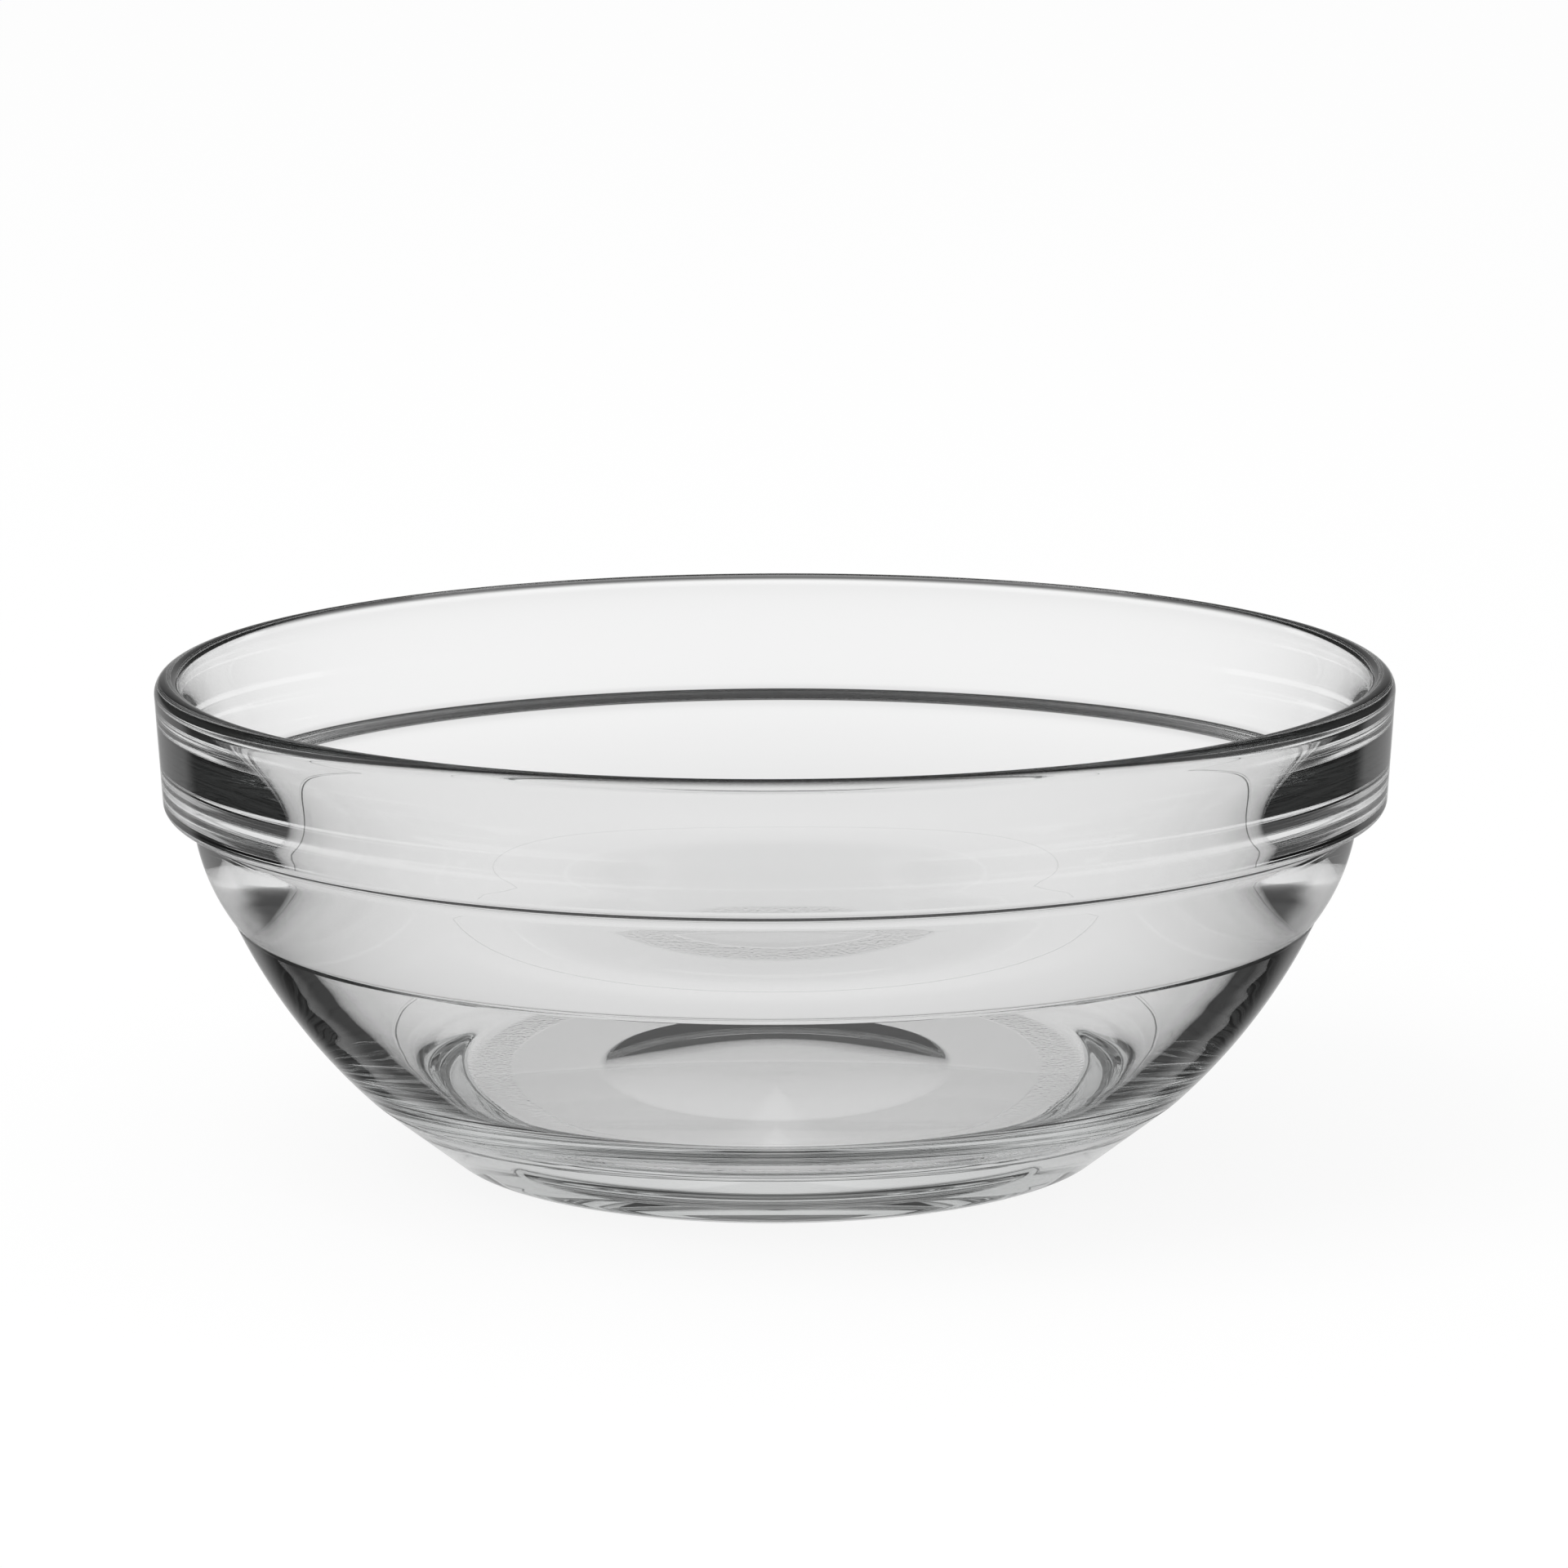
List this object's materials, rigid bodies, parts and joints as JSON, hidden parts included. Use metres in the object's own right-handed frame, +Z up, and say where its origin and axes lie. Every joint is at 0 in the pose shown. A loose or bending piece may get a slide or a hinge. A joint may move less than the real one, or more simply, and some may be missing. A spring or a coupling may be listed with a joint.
{
  "type": "salad bowl",
  "caption": "Round clear pressed-glass salad bowl with an upright rim band, a stacking ledge, a softly ringed wall and a thick base with a flat foot.",
  "frame": {"origin": "centre of the foot, on the plane that the bowl stands on", "axes": "+Z up along the bowl's axis of revolution; X and Y are alike"},
  "size_m": [0.2, 0.2, 0.0795],
  "materials": {
    "clear_glass": "clear pressed glass, fire polished"
  },
  "bodies": {
    "root": {"bowl": "clear_glass"}
  },
  "joints": []
}
